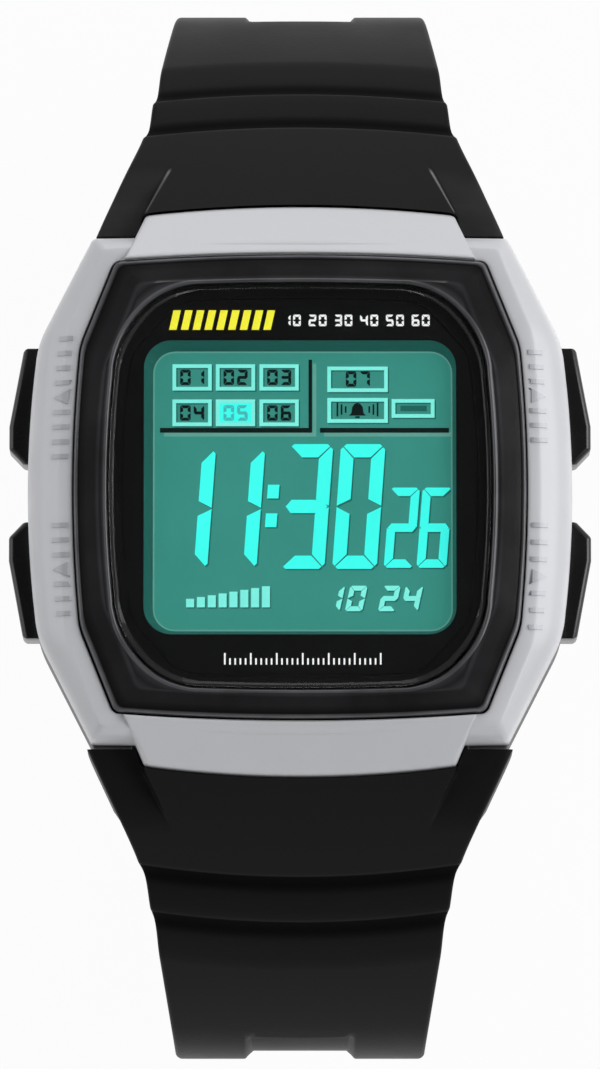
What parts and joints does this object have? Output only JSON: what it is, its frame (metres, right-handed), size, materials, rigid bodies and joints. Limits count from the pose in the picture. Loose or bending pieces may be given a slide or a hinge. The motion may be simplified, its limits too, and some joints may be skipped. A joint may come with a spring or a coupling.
{
  "type": "digital wrist watch",
  "caption": "Digital wrist watch with a barrel-shaped case, silver cover, black bezel, lit display, sprung side buttons and a black resin strap with a buckle.",
  "frame": {"origin": "under the middle of the dial, on the surface that the curled strap rests on", "axes": "+Z out of the dial, +Y to twelve o'clock, +X to three o'clock"},
  "size_m": [0.0422, 0.078, 0.0492],
  "materials": {
    "black_resin": "fine moulded satin",
    "silver_coat": "satin silver coat",
    "bezel_black": "satin",
    "clear_lens": "polished",
    "seal_rubber": "matte",
    "printed_card": "printed",
    "polarizer_film": "smooth film",
    "display_glass": "clear",
    "light_guide": "lit from behind",
    "module_plastic": "moulded",
    "circuit_green": "solder mask",
    "chip_epoxy": "moulded",
    "bright_steel": "bright",
    "capacitor_ceramic": "matte",
    "contact_metal": "sprung sheet",
    "buzzer_brass": "rolled sheet",
    "insulator_film": "amber film",
    "back_steel": "brushed",
    "strap_resin": "satin resin",
    "buckle_steel": "brushed",
    "button_resin": "semi gloss"
  },
  "bodies": {
    "case": {"case_body": "black_resin", "bezel_cover": "silver_coat", "bezel_ring": "bezel_black", "lens": "clear_lens", "case_back": "back_steel", "lens_gasket": "seal_rubber", "dial_mask": "printed_card", "lcd_polarizer": "polarizer_film", "lcd_front_glass": "display_glass", "lcd_back_glass": "display_glass", "lcd_contact_strips": "seal_rubber", "backlight_panel": "light_guide", "module_frame": "module_plastic", "circuit_board": "circuit_green", "chip_cover": "chip_epoxy", "quartz_crystal": "bright_steel", "chip_capacitors": "capacitor_ceramic", "buzzer_coil": "chip_epoxy", "battery": "bright_steel", "battery_contact": "contact_metal", "battery_clip": "bright_steel", "battery_clip_screws": "bright_steel", "buzzer_plate": "buzzer_brass", "buzzer_ceramic": "capacitor_ceramic", "buzzer_spring": "bright_steel", "insulator_sheet": "insulator_film", "back_gasket": "seal_rubber", "case_back_screws": "bright_steel"},
    "upper_strap": {"short_strap": "strap_resin", "upper_spring_bar": "bright_steel"},
    "lower_strap": {"long_strap": "strap_resin", "lower_spring_bar": "bright_steel"},
    "buckle": {"buckle_frame": "buckle_steel", "buckle_bar": "bright_steel"},
    "tongue": {"buckle_tongue": "buckle_steel"},
    "keeper": {"keeper_loop": "strap_resin"},
    "light_button": {"light_button_cap": "button_resin", "light_button_stem": "bright_steel", "light_button_seal": "seal_rubber", "light_button_clip": "bright_steel", "light_button_spring": "bright_steel"},
    "set_button": {"set_button_cap": "button_resin", "set_button_stem": "bright_steel", "set_button_seal": "seal_rubber", "set_button_clip": "bright_steel", "set_button_spring": "bright_steel"},
    "mode_button": {"mode_button_cap": "button_resin", "mode_button_stem": "bright_steel", "mode_button_seal": "seal_rubber", "mode_button_clip": "bright_steel", "mode_button_spring": "bright_steel"},
    "start_button": {"start_button_cap": "button_resin", "start_button_stem": "bright_steel", "start_button_seal": "seal_rubber", "start_button_clip": "bright_steel", "start_button_spring": "bright_steel"}
  },
  "joints": [
    {"name": "light_button_press", "type": "slide", "parent": "case", "child": "light_button", "axis": [-1, 0, 0], "range_m": [0, 0.0007], "stiffness_N_per_m": 800, "springref_m": -0.0005, "deforming": ["light_button_spring"]},
    {"name": "set_button_press", "type": "slide", "parent": "case", "child": "set_button", "axis": [1, 0, 0], "range_m": [0, 0.0007], "stiffness_N_per_m": 800, "springref_m": -0.0005, "deforming": ["set_button_spring"]},
    {"name": "mode_button_press", "type": "slide", "parent": "case", "child": "mode_button", "axis": [1, 0, 0], "range_m": [0, 0.0007], "stiffness_N_per_m": 800, "springref_m": -0.0005, "deforming": ["mode_button_spring"]},
    {"name": "start_button_press", "type": "slide", "parent": "case", "child": "start_button", "axis": [-1, 0, 0], "range_m": [0, 0.0007], "stiffness_N_per_m": 800, "springref_m": -0.0005, "deforming": ["start_button_spring"]},
    {"name": "upper_strap_hinge", "type": "hinge", "parent": "case", "child": "upper_strap", "pos_m": [0, 0.0202, 0.04293], "axis": [1, 0, 0], "range_deg": [0, 6]},
    {"name": "lower_strap_hinge", "type": "hinge", "parent": "case", "child": "lower_strap", "pos_m": [0, -0.0202, 0.04293], "axis": [-1, 0, 0], "range_deg": [0, 6]},
    {"name": "buckle_hinge", "type": "hinge", "parent": "upper_strap", "child": "buckle", "pos_m": [0, 0.00506, 0.01189], "axis": [-1, 0, 0], "range_deg": [-20, 45]},
    {"name": "tongue_hinge", "type": "hinge", "parent": "buckle", "child": "tongue", "pos_m": [0, 0.00506, 0.01189], "axis": [1, 0, 0], "range_deg": [0, 40]},
    {"name": "keeper_slide", "type": "slide", "parent": "upper_strap", "child": "keeper", "axis": [0, -0.9659, 0.2588], "range_m": [-0.0028, 0.0033]}
  ]
}
